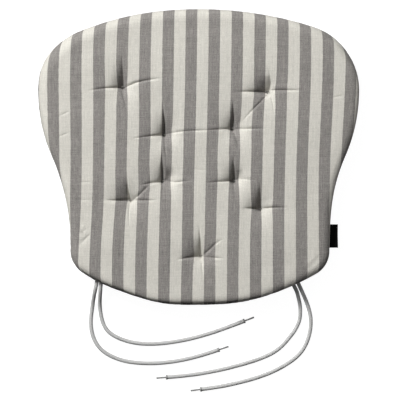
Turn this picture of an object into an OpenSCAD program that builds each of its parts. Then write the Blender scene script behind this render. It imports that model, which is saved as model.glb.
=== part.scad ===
// Chair seat pad: two striped cover panels sewn at a mid-height seam round a foam core,
// nine thread tufts, two pairs of tie cords at the rear corners and a folded side label.
// The pad lies flat on z = 0. Its front (wide) end faces +Y, its ties leave at -Y.

/* [Pad] */
// Greatest width, across the front bulge
pad_w = 411; // [405:1:417]
// Length, front to rear
pad_l = 380; // [374:1:386]
// Height of the filled pad
pad_h = 35; // [30:1:42]
// Width between the two waists, near the rear
waist_w = 332; // [328:1:336]
// Width of the rounded roll between the seam and the flat top or underside
roll_w = 17; // [14:0.5:20]

/* [Outline radii] */
// Front edge
front_r = 440; // [430:5:460]
// Shoulders at the widest point
shoulder_r = 85; // [80:1:90]
// Flanks behind the shoulders
flank_r = 208; // [200:1:216]
// Hollow of the waist
waist_r = 262; // [255:1:270]
// Rear corners
corner_r = 32; // [28:1:34]
// Rear edge
rear_r = 300; // [290:2:320]

/* [Cover] */
// Thickness of the cover fabric
fabric_t = 0.8; // [0.6:0.1:1]
// Seam allowance turned inside the pad
allowance_w = 9; // [7:0.5:11]
// Diameter of the sewing thread
thread_d = 0.8; // [0.5:0.1:0.8]
// Width of the filling opening, closed by hand at the rear
opening_w = 160; // [120:10:200]

/* [Tufts] */
// Depth of a tuft's well in the top
well_depth = 12; // [8:1:14]
// Radius of a well where it meets the top
well_top_r = 16; // [14:1:18]
// Radius of a well's floor
well_floor_r = 3; // [3:0.5:4]
// Depth of the recess round a tuft's knot underneath
recess_depth = 4; // [4:0.5:5]
// Diameter of the tufting twine
twine_d = 1.2; // [1:0.1:1.4]

/* [Ties] */
// Diameter of a tie cord
cord_d = 5; // [4.5:0.1:5]
// Diameter of the melted collar at the end of a cord
collar_d = 6; // [5.6:0.1:6.2]
// Length of the core that stands out past the collar
tip_l = 12.5; // [8:0.5:14]

/* [Label] */
// Width of the folded label along the seam
label_w = 30; // [24:1:34]
// How far the label stands out of the seam
label_out = 10; // [8:1:12]
// Thickness of the label's ribbon
ribbon_t = 0.5; // [0.4:0.1:0.5]

/* [Hidden] */
$fn = 48;

// The seam lies at mid height.
seam_z = pad_h / 2;

// Tuft places, numbered from the front left.
TUFTS = [
    [-97, 89], [88, 83], [-44, 28], [43, 36], [-46, -31],
    [44, -31], [-87, -56], [79, -67], [3, -127]
];

// Centre lines of the four tie cords, from inside the seam to the cut end of the sleeve.
LEFT_OUTER = [
    [-129, -150.5, 17.5], [-131, -164, 17.5], [-132.5, -171, 15.5], [-134, -178, 11.5],
    [-135.5, -186, 6.5], [-137, -196, 3.4], [-138.5, -209, 2.7], [-138, -222, 2.7],
    [-134, -236, 2.7], [-126, -247.5, 2.7], [-113, -256.5, 2.7], [-97, -262.5, 2.7],
    [-78, -265.5, 2.7], [-56, -266, 2.7], [-27, -263, 2.7], [3, -256, 3], [25, -249, 3.1]
];
LEFT_INNER = [
    [-123.5, -152.5, 17.5], [-125.5, -166, 17.5], [-126, -173, 15.5], [-126.5, -180, 11.5],
    [-127, -188, 6.5], [-126.5, -198, 3.4], [-124, -211, 2.7], [-118, -223, 2.7],
    [-106, -232, 2.7], [-90, -238, 2.7], [-70, -241, 2.7], [-48, -240.5, 2.7],
    [-20, -236.5, 2.7], [10, -229, 2.7], [38, -219.5, 3], [58, -212, 3.1]
];
RIGHT_INNER = [
    [118, -155, 17.5], [123, -167, 17.5], [126, -173, 15.5], [128, -180, 11.5],
    [130, -188, 6.5], [131, -198, 3.4], [130, -210, 2.7], [125, -222, 2.7],
    [117, -233, 2.7], [105, -246, 2.7], [88, -256.5, 2.7], [63, -265.5, 2.7],
    [33, -273.5, 2.7], [2, -279.5, 2.7], [-22, -282.5, 3], [-40, -284, 3.1]
];
RIGHT_OUTER = [
    [123.5, -152.5, 17.5], [129, -165, 17.5], [132, -171.5, 15.5], [135, -178, 11.5],
    [138.5, -186, 6.5], [142, -196, 3.4], [144.5, -209, 2.7], [143.5, -225, 2.7],
    [139, -240, 2.7], [130, -254, 2.7], [113, -267.5, 2.7], [88, -280, 2.7],
    [56, -290, 2.7], [28, -296, 3], [4, -299.5, 3.1]
];
CORDS = [LEFT_OUTER, LEFT_INNER, RIGHT_INNER, RIGHT_OUTER];
CORD_NAMES = ["left_outer", "left_inner", "right_inner", "right_outer"];
CORD_SIDES = 8;

// Bar tacks that hold each pair of cords: the angle of each along the rear edge,
// how far its middle lies inside the edge, and its size.
TACK_ANGLES = [-25.7, 24.5];
TACK_NAMES = ["left", "right"];
TACK_INSET = 8.5;
TACK_SIZE = [15, 4, 7];

// The label's place: the rear end of its ribbon, and the length caught in the seam.
LABEL_Y = -117;
LABEL_CAUGHT = 8;
FOLD_R = 0.8;

// A tip rests with its far end on the surface.
TIP_D = 2.2;
COLLAR_L = 2;

// Tuft twine: two strands side by side, a bar in the well and a knot underneath.
STRAND_GAP = 3;
KNOT_D = 2;
// Extra fabric round a well's cone, measured along its radius.
WELL_WALL = 0.6;

// Lock stitches stand at every few corners of the outline, this far inside its edge.
// They are thinner than the laid thread, because each is drawn tight.
STITCH_STEP = 5;
STITCH_INSET = 3;
LOCK_D = 0.5;
// The hand stitches of the opening lie in a groove this far inside the edge.
CLOSING_INSET = 0.2;

// Rings from the seam to the flat, counted in steps.
ROLL_STEPS = 5;
OVER = 1;

// ---- Outline: tangent arcs down the right side, mirrored on the left ----

front_c = [0, pad_l / 2 - front_r];
shoulder_x = pad_w / 2 - shoulder_r;
shoulder_c = [
    shoulder_x,
    front_c.y + sqrt(pow(front_r - shoulder_r, 2) - pow(shoulder_x, 2))
];
flank_c = [pad_w / 2 - flank_r, shoulder_c.y];
waist_x = waist_w / 2 + waist_r;
waist_c = [
    waist_x,
    flank_c.y - sqrt(pow(flank_r + waist_r, 2) - pow(waist_x - flank_c.x, 2))
];
rear_c = [0, rear_r - pad_l / 2];
corner_x = waist_w / 2 - corner_r;
corner_c = [corner_x, rear_c.y - sqrt(pow(rear_r - corner_r, 2) - pow(corner_x, 2))];

shoulder_a = atan2(shoulder_c.y - front_c.y, shoulder_c.x - front_c.x);
flank_a = atan2(waist_c.y - flank_c.y, waist_c.x - flank_c.x);
corner_a = atan2(corner_c.y - rear_c.y, corner_c.x - rear_c.x);

// An arc's points from angle a0 to a1 in n steps, without the last.
function arc(c, r, a0, a1, n) = [
    for (i = [0 : n - 1]) let (a = a0 + (a1 - a0) * i / n) c + r * [cos(a), sin(a)]
];

// The right half of the outline, d inside its edge, from the front middle to the rear middle.
function right_side(d) = concat(
    arc(front_c, front_r - d, 90, shoulder_a, 8),
    arc(shoulder_c, shoulder_r - d, shoulder_a, 0, 13),
    arc(flank_c, flank_r - d, 0, flank_a, 6),
    arc(waist_c, waist_r + d, 180 + flank_a, 180, 6),
    [[waist_w / 2 - d, waist_c.y]],
    arc(corner_c, corner_r - d, 0, corner_a, 8),
    arc(rear_c, rear_r - d, corner_a, -90, 10),
    [[0, d - pad_l / 2]]
);

// The whole outline, clockwise seen from above.
function outline(d) = let (half = right_side(d), n = len(half)) concat(
    half,
    [for (i = [n - 2 : -1 : 1]) [-half[i].x, half[i].y]]
);

// Where the outline crosses the filling opening, and all the rest of the way round.
EDGE = outline(0);
EDGE_N = len(EDGE);
OPENING_IDS = [
    for (i = [0 : EDGE_N - 1]) if (EDGE[i].y < 0 && abs(EDGE[i].x) < opening_w / 2) i
];
opening_first = OPENING_IDS[0];
opening_last = OPENING_IDS[len(OPENING_IDS) - 1];
SEWN_IDS = [
    for (i = [opening_last : opening_first + EDGE_N]) i % EDGE_N
];

// A strip that follows the outline between two insets, over a run of its corners.
module strip(d_out, d_in, ids) {
    outer = outline(d_out);
    inner = outline(d_in);
    n = len(ids);
    polygon(concat([for (i = ids) outer[i]], [for (k = [n - 1 : -1 : 0]) inner[ids[k]]]));
}

// ---- Shells: each ring is [inset, height] ----

module ring_solid(rings) {
    count = len(rings);
    points = [for (r = rings) for (p = outline(r[0])) [p.x, p.y, r[1]]];
    sides = [
        for (k = [0 : count - 2]) for (i = [0 : EDGE_N - 1])
        let (j = (i + 1) % EDGE_N, a = k * EDGE_N, b = a + EDGE_N)
        each [[a + i, b + i, b + j], [a + i, b + j, a + j]]
    ];
    first = [for (i = [0 : EDGE_N - 1]) i];
    last = [for (i = [EDGE_N - 1 : -1 : 0]) (count - 1) * EDGE_N + i];
    polyhedron(points, concat([first], sides, [last]), convexity = 8);
}

// A ring on the outside of the roll: step 0 at the seam, ROLL_STEPS at the flat.
function outer_ring(k, up) = let (a = 90 * k / ROLL_STEPS, rise = pad_h - seam_z)
    [roll_w * (1 - cos(a)), seam_z + up * rise * sin(a)];

// A ring on the inside of the roll, a fabric thickness away.
function inner_ring(k, up) =
    let (a = 90 * k / ROLL_STEPS, rise = pad_h - seam_z - 2 * fabric_t)
    [fabric_t + (roll_w - fabric_t) * (1 - cos(a)), seam_z + up * (fabric_t + rise * sin(a))];

// Where the foam starts above or below the sewn allowances.
function foam_ring(up) = let (
    a = inner_ring(0, up),
    b = inner_ring(1, up),
    f = thread_d / abs(b[1] - a[1])
) a + f * (b - a);

// One cover panel above the seam, with its allowance turned in.
module panel_shell() {
    ring_solid(concat(
        [for (k = [ROLL_STEPS : -1 : 0]) outer_ring(k, 1)],
        [[allowance_w, seam_z], [allowance_w, seam_z + fabric_t]],
        [for (k = [0 : ROLL_STEPS]) inner_ring(k, 1)]
    ));
}

module foam_block() {
    groove = fabric_t + thread_d;
    ring_solid(concat(
        [for (k = [ROLL_STEPS : -1 : 1]) inner_ring(k, 1)],
        [foam_ring(1), [allowance_w, seam_z + groove], [allowance_w, seam_z - groove]],
        [foam_ring(-1)],
        [for (k = [1 : ROLL_STEPS]) inner_ring(k, -1)]
    ));
}

// ---- Tufts ----

well_floor_z = pad_h - well_depth;
well_slope = (well_top_r - well_floor_r) / well_depth;

// The hollow above a tuft, open upwards. grow moves it down and out into the fabric.
module well(grow, top_z) {
    z0 = well_floor_z - grow * fabric_t;
    r0 = well_floor_r + grow * WELL_WALL;
    h = top_z - z0;
    translate([0, 0, z0]) cylinder(h = h, r1 = r0, r2 = r0 + h * well_slope);
}

// The hollow round the knot, open downwards.
module recess(grow, bottom_z) {
    z1 = recess_depth + grow * fabric_t;
    r1 = 4 + grow * WELL_WALL;
    h = z1 - bottom_z;
    translate([0, 0, bottom_z]) cylinder(h = h, r1 = r1 + h, r2 = r1);
}

module at_tufts() {
    for (t = TUFTS) translate([t.x, t.y, 0]) children();
}

// The two strands of a tuft between two heights.
module strands(z0, z1) {
    for (s = [-1, 1]) translate([s * STRAND_GAP / 2, 0, z0]) cylinder(h = z1 - z0, d = twine_d);
}

// ---- Cord, tack and label places ----

// Turns a piece drawn along +X to run from a towards b.
module along(a, b) {
    v = b - a;
    flat = norm([v.x, v.y]);
    translate(a) rotate([0, -atan2(v.z, flat), atan2(v.y, v.x)]) children();
}

// The straight ways that the cords take through the seam.
module cord_ways() {
    for (c = CORDS) along(c[0], c[1]) rotate([0, 90, 0])
        cylinder(h = norm(c[1] - c[0]) + 2 * cord_d, d = cord_d);
}

// A block across the seam at angle a of the rear edge, its middle this far inside the edge.
module seam_block(a, inset, size) {
    c = rear_c + (rear_r - inset) * [sin(a), -cos(a)];
    translate([c.x, c.y, seam_z]) rotate([0, 0, a]) cube(size, center = true);
}

module tack_blocks() {
    for (a = TACK_ANGLES) seam_block(a, TACK_INSET, TACK_SIZE);
}

// Where the machine seam is broken by a pair of cords.
module cord_gaps() {
    for (a = TACK_ANGLES) seam_block(a, 0, [TACK_SIZE.x, 2 * TACK_INSET, TACK_SIZE.z]);
}

// The part of the label between the panels, and out past their edge.
module label_slot() {
    translate([waist_w / 2 - LABEL_CAUGHT, LABEL_Y, seam_z - ribbon_t])
        cube([LABEL_CAUGHT + label_out, label_w, 2 * ribbon_t]);
}

// Corners of the outline that carry a lock stitch, clear of the label and the tacks.
function near_tack(p) = p.y < rear_c.y
    && min([for (a = TACK_ANGLES) abs(atan2(p.x - rear_c.x, rear_c.y - p.y) - a)]) < 3;
function near_label(p) = p.x > 0 && p.y > LABEL_Y - thread_d && p.y < LABEL_Y + label_w + thread_d;
LOCK_IDS = [
    for (k = [2 : STITCH_STEP : len(SEWN_IDS) - 2]) let (p = EDGE[SEWN_IDS[k]])
    if (!near_tack(p) && !near_label(p)) SEWN_IDS[k]
];

module lock_stitches() {
    line = outline(STITCH_INSET + thread_d / 2);
    reach = fabric_t + thread_d / 2;
    for (i = LOCK_IDS) translate([line[i].x, line[i].y, seam_z - reach])
        cylinder(h = 2 * reach, d = LOCK_D);
}

module closing_line() {
    translate([0, 0, seam_z - thread_d / 2]) linear_extrude(thread_d)
        strip(CLOSING_INSET, CLOSING_INSET + thread_d, OPENING_IDS);
}

// ---- Sub-parts ----

module top_panel() {
    color([0.76, 0.75, 0.71]) difference() {
        union() {
            panel_shell();
            at_tufts() well(1, pad_h - fabric_t / 2);
        }
        at_tufts() well(0, pad_h + OVER);
        at_tufts() strands(well_floor_z - 2 * fabric_t, well_floor_z + OVER);
        lock_stitches();
        closing_line();
        label_slot();
        tack_blocks();
        cord_ways();
    }
}

module bottom_panel() {
    color([0.70, 0.69, 0.66]) difference() {
        union() {
            translate([0, 0, 2 * seam_z]) mirror([0, 0, 1]) panel_shell();
            at_tufts() recess(1, fabric_t / 2);
        }
        at_tufts() recess(0, -OVER);
        at_tufts() strands(recess_depth - OVER, recess_depth + 2 * fabric_t);
        lock_stitches();
        closing_line();
        label_slot();
        tack_blocks();
        cord_ways();
    }
}

module foam_core() {
    color([0.96, 0.92, 0.78]) difference() {
        foam_block();
        at_tufts() well(1, pad_h + OVER);
        at_tufts() recess(1, -OVER);
        at_tufts() strands(recess_depth, well_floor_z);
        tack_blocks();
        cord_ways();
    }
}

// Machine seam: a needle thread above the allowances, a bobbin thread below, locked through.
module seam_thread() {
    color([0.86, 0.85, 0.81]) difference() {
        union() {
            for (z = [seam_z + fabric_t, seam_z - fabric_t - thread_d])
                translate([0, 0, z]) linear_extrude(thread_d)
                    strip(STITCH_INSET, STITCH_INSET + thread_d, SEWN_IDS);
            lock_stitches();
        }
        cord_gaps();
    }
}

module closing_stitch() {
    color([0.86, 0.85, 0.81]) closing_line();
}

module tuft_thread(i) {
    color([0.62, 0.61, 0.58]) translate([TUFTS[i - 1].x, TUFTS[i - 1].y, 0]) {
        bar = STRAND_GAP + twine_d;
        strands(recess_depth - KNOT_D / 2, well_floor_z + twine_d / 2);
        translate([0, 0, well_floor_z + twine_d / 2]) rotate([0, 90, 0])
            cylinder(h = bar, d = twine_d, center = true);
        translate([0, 0, recess_depth - KNOT_D / 2]) rotate([0, 90, 0])
            cylinder(h = bar, d = KNOT_D, center = true);
    }
}

function unit(v) = v / norm(v);

// The direction of a route at each of its points.
function heading(route, i) =
    unit(route[min(i + 1, len(route) - 1)] - route[max(i - 1, 0)]);

function cord_ring(route, i) = let (
    t = heading(route, i),
    side = unit(cross(t, [0, 0, 1])),
    up = cross(side, t)
) [
    for (k = [0 : CORD_SIDES - 1]) let (a = 360 * (k + 0.5) / CORD_SIDES)
    route[i] + cord_d / 2 * (cos(a) * side + sin(a) * up)
];

module cord_tube(route) {
    n = len(route);
    m = CORD_SIDES;
    points = [for (i = [0 : n - 1]) each cord_ring(route, i)];
    sides = [
        for (i = [0 : n - 2]) for (k = [0 : m - 1])
        let (a = i * m + k, b = i * m + (k + 1) % m)
        each [[a, b, b + m], [a, b + m, a + m]]
    ];
    start = [for (k = [m - 1 : -1 : 0]) k];
    end = [for (k = [0 : m - 1]) (n - 1) * m + k];
    polyhedron(points, concat([start], sides, [end]), convexity = 8);
}

module tie_cord(c) {
    color([0.78, 0.78, 0.77]) cord_tube(CORDS[c]);
}

// The last stretch of a cord, levelled, gives its end pieces their direction.
function cord_end(c) = let (r = CORDS[c]) r[len(r) - 1];
function level_end(c) = let (r = CORDS[c], v = r[len(r) - 1] - r[len(r) - 2]) unit([v.x, v.y, 0]);

// The sleeve's end, melted into a collar round the core.
module cord_collar(c) {
    a = cord_end(c);
    color([0.50, 0.50, 0.49]) along(a, a + level_end(c)) rotate([0, 90, 0])
        cylinder(h = COLLAR_L, d = collar_d);
}

// The bare end of the core, drooping to the surface.
module cord_tip(c) {
    a = cord_end(c) + COLLAR_L * level_end(c);
    drop = a.z - TIP_D * 0.6;
    color([0.45, 0.45, 0.44]) difference() {
        along(a - OVER * level_end(c), a + tip_l * level_end(c) - [0, 0, drop])
            rotate([0, 90, 0]) cylinder(h = tip_l + OVER, d = TIP_D);
        along(a, a - level_end(c)) rotate([0, 90, 0]) cylinder(h = 2 * OVER, d = collar_d);
    }
}

module bar_tack(t) {
    color([0.86, 0.85, 0.81]) difference() {
        seam_block(TACK_ANGLES[t], TACK_INSET, TACK_SIZE);
        cord_ways();
    }
}

// A ribbon folded in two: its legs are caught in the seam and its fold stands out.
module side_label() {
    fold_x = waist_w / 2 + label_out - FOLD_R;
    leg = fold_x - waist_w / 2 + LABEL_CAUGHT;
    color([0.06, 0.06, 0.06]) translate([0, LABEL_Y + label_w, seam_z]) rotate([90, 0, 0])
        linear_extrude(label_w) difference() {
            union() {
                translate([fold_x - leg, -ribbon_t]) square([leg, 2 * ribbon_t]);
                translate([fold_x, 0]) circle(r = FOLD_R);
            }
            translate([fold_x, 0]) circle(r = FOLD_R - ribbon_t);
        }
}

top_panel();
bottom_panel();
foam_core();
seam_thread();
closing_stitch();
for (i = [1 : len(TUFTS)])
    tuft_thread(i);
for (c = [0 : len(CORDS) - 1]) {
    tie_cord(c);
    cord_collar(c);
    cord_tip(c);
}
for (t = [0 : len(TACK_ANGLES) - 1])
    bar_tack(t);
side_label();
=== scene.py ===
"""Chair seat pad: striped covers, foam, tufts, tie cords and a folded label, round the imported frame.

Lengths are in millimetres up to make_mesh(), which writes metres. The pad lies on z = 0, its
wide front end faces +Y, and its ties leave at -Y.
"""
import math

import bpy
import numpy as np
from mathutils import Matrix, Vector, geometry


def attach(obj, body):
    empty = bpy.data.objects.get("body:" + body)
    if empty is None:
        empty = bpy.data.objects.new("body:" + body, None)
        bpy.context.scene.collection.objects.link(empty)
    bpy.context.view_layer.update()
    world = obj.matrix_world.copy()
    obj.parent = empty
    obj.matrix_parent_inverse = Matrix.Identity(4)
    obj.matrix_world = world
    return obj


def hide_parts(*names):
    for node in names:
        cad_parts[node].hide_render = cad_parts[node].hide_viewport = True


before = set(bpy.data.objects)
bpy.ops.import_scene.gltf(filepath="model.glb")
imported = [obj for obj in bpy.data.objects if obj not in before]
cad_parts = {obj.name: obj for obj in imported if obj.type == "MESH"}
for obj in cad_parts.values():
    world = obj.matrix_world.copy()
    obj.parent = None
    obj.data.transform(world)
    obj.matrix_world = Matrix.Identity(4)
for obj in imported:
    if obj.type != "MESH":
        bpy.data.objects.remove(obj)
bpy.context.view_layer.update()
MM = 0.001
UP = np.array((0, 0, 1.0))

# ---- Sizes, the same as the CAD's ----
PAD_W, PAD_L, PAD_H, WAIST_W, ROLL_W = 411.0, 380.0, 35.0, 332.0, 17.0
FRONT_R, SHOULDER_R, FLANK_R, WAIST_R, CORNER_R, REAR_R = 440.0, 85.0, 208.0, 262.0, 32.0, 300.0
SEAM_Z = PAD_H / 2
CORD_D, COLLAR_L, TIP_L = 5.0, 2.0, 12.5
LABEL_Y, LABEL_W, LABEL_OUT, LABEL_CAUGHT = -117.0, 30.0, 10.0, 8.0

TUFTS = [(-97, 89), (88, 83), (-44, 28), (43, 36), (-46, -31), (44, -31), (-87, -56), (79, -67), (3, -127)]

ROUTES = {
    "left_outer": [
        (-129, -150.5, 17.5), (-131, -164, 17.5), (-132.5, -171, 15.5), (-134, -178, 11.5),
        (-135.5, -186, 6.5), (-137, -196, 3.4), (-138.5, -209, 2.7), (-138, -222, 2.7),
        (-134, -236, 2.7), (-126, -247.5, 2.7), (-113, -256.5, 2.7), (-97, -262.5, 2.7),
        (-78, -265.5, 2.7), (-56, -266, 2.7), (-27, -263, 2.7), (3, -256, 3), (25, -249, 3.1)],
    "left_inner": [
        (-123.5, -152.5, 17.5), (-125.5, -166, 17.5), (-126, -173, 15.5), (-126.5, -180, 11.5),
        (-127, -188, 6.5), (-126.5, -198, 3.4), (-124, -211, 2.7), (-118, -223, 2.7),
        (-106, -232, 2.7), (-90, -238, 2.7), (-70, -241, 2.7), (-48, -240.5, 2.7),
        (-20, -236.5, 2.7), (10, -229, 2.7), (38, -219.5, 3), (58, -212, 3.1)],
    "right_inner": [
        (118, -155, 17.5), (123, -167, 17.5), (126, -173, 15.5), (128, -180, 11.5),
        (130, -188, 6.5), (131, -198, 3.4), (130, -210, 2.7), (125, -222, 2.7),
        (117, -233, 2.7), (105, -246, 2.7), (88, -256.5, 2.7), (63, -265.5, 2.7),
        (33, -273.5, 2.7), (2, -279.5, 2.7), (-22, -282.5, 3), (-40, -284, 3.1)],
    "right_outer": [
        (123.5, -152.5, 17.5), (129, -165, 17.5), (132, -171.5, 15.5), (135, -178, 11.5),
        (138.5, -186, 6.5), (142, -196, 3.4), (144.5, -209, 2.7), (143.5, -225, 2.7),
        (139, -240, 2.7), (130, -254, 2.7), (113, -267.5, 2.7), (88, -280, 2.7),
        (56, -290, 2.7), (28, -296, 3), (4, -299.5, 3.1)],
}

# ---- Camera ----
VIEW_W, LENS, SENSOR = 513.0, 250.0, 36.0
VIEW_CENTRE = (1.9, -55.8)

camera = bpy.data.objects.new("camera", bpy.data.cameras.new("camera"))
camera.data.lens, camera.data.sensor_width = LENS, SENSOR
camera.data.clip_start, camera.data.clip_end = 0.1, 60.0
camera.location = (VIEW_CENTRE[0] * MM, VIEW_CENTRE[1] * MM, (SEAM_Z + VIEW_W * LENS / SENSOR) * MM)
bpy.context.scene.collection.objects.link(camera)
bpy.context.scene.camera = camera


# ---- Helpers ----

def bell(x, power=2):
    """1 at 0, falling smoothly to 0 on both sides."""
    return np.exp(-(np.abs(x) ** power))


def circle(steps):
    """Even steps once round, in radians."""
    return np.linspace(0, 2 * math.pi, steps, endpoint=False)


def ring_faces(rings, sides):
    """The faces of a tube whose points are numbered ring by ring."""
    return [(i * sides + j, i * sides + (j + 1) % sides, (i + 1) * sides + (j + 1) % sides, (i + 1) * sides + j)
            for i in range(rings - 1) for j in range(sides)]


def make_mesh(name, points, faces, corner_fabric=None, **point_data):
    """A smooth-shaded mesh object from points in mm; point_data become float or vector attributes."""
    mesh = bpy.data.meshes.new(name)
    mesh.from_pydata((np.asarray(points, float) * MM).tolist(), [], faces)
    mesh.validate()
    for key, values in point_data.items():
        values = np.asarray(values, np.float32)
        kind, field = ("FLOAT_VECTOR", "vector") if values.ndim == 2 else ("FLOAT", "value")
        mesh.attributes.new(key, kind, "POINT").data.foreach_set(field, values.ravel())
    if corner_fabric is not None:
        layer = mesh.attributes.new("fabric", "FLOAT_VECTOR", "CORNER")
        layer.data.foreach_set("vector", np.asarray(corner_fabric, np.float32).ravel())
    mesh.polygons.foreach_set("use_smooth", np.ones(len(mesh.polygons), bool))
    obj = bpy.data.objects.new(name, mesh)
    bpy.context.scene.collection.objects.link(obj)
    return obj


def spline(points, step):
    """Points a step apart on a natural cubic through the given ones."""
    p = np.asarray(points, float)
    t = lengths_along(p)
    n, h = len(p), np.diff(t)
    a, rhs = np.zeros((n, n)), np.zeros_like(p)
    a[0, 0] = a[-1, -1] = 1
    for i in range(1, n - 1):
        a[i, i - 1: i + 2] = h[i - 1], 2 * (h[i - 1] + h[i]), h[i]
        rhs[i] = 6 * ((p[i + 1] - p[i]) / h[i] - (p[i] - p[i - 1]) / h[i - 1])
    m = np.linalg.solve(a, rhs)
    x = np.linspace(0, t[-1], int(t[-1] / step * 4))
    k = np.clip(np.searchsorted(t, x, side="right") - 1, 0, n - 2)
    u, v, w = (x - t[k])[:, None], (t[k + 1] - x)[:, None], h[k][:, None]
    dense = ((m[k] * v**3 + m[k + 1] * u**3) / (6 * w) + (p[k] / w - m[k] * w / 6) * v
             + (p[k + 1] / w - m[k + 1] * w / 6) * u)
    return resample(dense, step)


def lengths_along(path):
    """The distance along a path to each of its points."""
    return np.concatenate([[0], np.cumsum(np.linalg.norm(np.diff(path, axis=0), axis=1))])


def resample(dense, step):
    """The same path with its points a step apart."""
    s = lengths_along(dense)
    at = np.linspace(0, s[-1], max(2, round(s[-1] / step) + 1))
    return np.stack([np.interp(at, s, dense[:, i]) for i in range(dense.shape[1])], axis=1)


def path_length(path):
    """A path's whole length."""
    return float(np.linalg.norm(np.diff(path, axis=0), axis=1).sum())


def moving_frames(path):
    """Tangents and two normals that turn as little as possible along the path."""
    tangent = np.gradient(path, axis=0)
    tangent /= np.linalg.norm(tangent, axis=1)[:, None]
    side = np.cross(tangent[0], (0, 0, 1) if abs(tangent[0][2]) < 0.9 else (1, 0, 0))
    sides = []
    for t in tangent:
        side = side - t * side.dot(t)
        side /= np.linalg.norm(side)
        sides.append(side)
    sides = np.array(sides)
    return tangent, sides, np.cross(tangent, sides)


def tube_data(path, radius, sides):
    """Points, faces and corner fabric (mm along, mm round) of a capped tube; radius is (rings, sides)."""
    tangent, a, b = moving_frames(path)
    turn = circle(sides)
    radius = np.broadcast_to(radius, (len(path), sides))
    ring = radius[..., None] * (np.cos(turn)[None, :, None] * a[:, None] + np.sin(turn)[None, :, None] * b[:, None])
    points = (path[:, None] + ring).reshape(-1, 3)
    s = lengths_along(path)
    w = np.arange(sides + 1) * 2 * math.pi * radius.mean() / sides
    fabric = [(along, around, 0) for i in range(len(path) - 1) for j in range(sides)
              for along, around in ((s[i], w[j]), (s[i], w[j + 1]), (s[i + 1], w[j + 1]), (s[i + 1], w[j]))]
    last = (len(path) - 1) * sides
    faces = ring_faces(len(path), sides) + [tuple(range(sides - 1, -1, -1)), tuple(range(last, last + sides))]
    fabric += [(0, 0, 0)] * sides + [(s[-1], 0, 0)] * sides
    return points, faces, fabric


def join_data(parts):
    """Several sets of tube_data as one."""
    points, faces, fabric = [], [], []
    for p, f, c in parts:
        base = sum(len(x) for x in points)
        points.append(p)
        faces += [tuple(i + base for i in face) for face in f]
        fabric += list(c)
    return np.concatenate(points), faces, fabric


def soft_noise(x, seed, scale, octaves=3):
    """Smooth 1-D noise, about -1 to 1, the same each run."""
    rng = np.random.default_rng(seed)
    total = np.zeros_like(np.asarray(x, float))
    for k in range(octaves):
        f = 2 * math.pi / scale * (1.0 + 0.83 * k)
        total += np.sin(f * np.asarray(x) * rng.uniform(0.85, 1.15) + rng.uniform(0, 6.28)) / (1 + 0.6 * k)
    return total / 1.6


# ---- Cords, with their melted collars and core tips ----
CORD_SIDES, CORD_STEP = 28, 0.9


def braid_relief(path, sides):
    """A braided sleeve: two sets of strands that cross, and a little unevenness along it."""
    s = np.linspace(0, path_length(path), len(path))[:, None]
    turn = circle(sides)[None]
    pitch = 2 * math.pi / 14.0
    weave = np.cos(6 * turn + 6 * pitch * s / 2.1) * np.cos(6 * turn - 6 * pitch * s / 2.1)
    return 0.055 * weave + 0.05 * soft_noise(s, 5, 37) + 0.03 * np.cos(turn * 2 + s / 23)


# The sleeve's end, flared and rounded by heat: (how far past the cut, radius).
COLLAR_PROFILE = np.array([(-0.5, 2.45), (-0.1, 2.62), (0.35, 2.82), (0.9, 2.95), (1.4, 2.96), (1.75, 2.75),
                           (1.95, 2.3), (2.0, 1.75), (1.9, 1.3), (1.7, 1.05)])
COLLAR_SIDES = 32
# The core's yarns: how many, their radius, how far each lies from the middle, their lay, and how low the end droops.
YARNS, YARN_R, YARN_OFFSET, YARN_LAY, DROOP_Z = 3, 0.58, 0.52, 7.5, 1.45


def melted_collar(name, end, heading, seed):
    """The collar round the end of a cord's sleeve, slightly lumpy."""
    n, m = len(COLLAR_PROFILE), COLLAR_SIDES
    turn = circle(m)
    lumps = 1 + 0.018 * np.sin(3 * turn + len(name)) + 0.014 * np.sin(7 * turn + seed)
    axis_path = end + COLLAR_PROFILE[:, :1] * heading
    rings = COLLAR_PROFILE[:, 1:] * lumps[None]
    around = np.cos(turn)[None, :, None] * np.cross(heading, UP) + np.sin(turn)[None, :, None] * UP
    points = axis_path[:, None] + rings[..., None] * around
    faces = ring_faces(n, m) + [tuple(range((n - 1) * m, n * m))]
    return make_mesh("collar_" + name, points.reshape(-1, 3), faces)


def core_tip(name, end, heading):
    """The core: twisted yarns that droop to the surface and part at the cut end."""
    start = end + heading * (COLLAR_L - 0.6)
    stop = end + heading * (COLLAR_L + TIP_L - 0.3)
    stop[2] = DROOP_Z
    t = np.linspace(0, 1, 40)[:, None]
    core = start + (stop - start) * t
    core[:, 2] = start[2] + (stop[2] - start[2]) * (t[:, 0] ** 1.4)
    spread = YARN_OFFSET * (1 + 0.5 * np.clip((t - 0.86) / 0.14, 0, 1))
    radius = YARN_R - 0.16 * np.clip((t - 0.93) / 0.07, 0, 1)
    yarns = []
    for k in range(YARNS):
        a = 2 * math.pi * (k / YARNS + t * TIP_L / YARN_LAY)
        yarns.append(tube_data(core + spread * (np.cos(a) * np.cross(heading, UP) + np.sin(a) * UP), radius, 12))
    return make_mesh("tip_" + name, *join_data(yarns))


cords = {}
for name, route in ROUTES.items():
    path = spline(route, CORD_STEP)
    radius = CORD_D / 2 - 0.06 + braid_relief(path, CORD_SIDES)
    cord = make_mesh("cord_" + name, *tube_data(path, radius, CORD_SIDES))
    heading = path[-1] - path[-3]
    heading[2] = 0
    heading /= np.linalg.norm(heading)
    collar = melted_collar(name, path[-1], heading, route[0][0])
    cords[name] = (cord, collar, core_tip(name, path[-1], heading), path)


# ---- The outline: tangent arcs, the same as the CAD's ----

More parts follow.
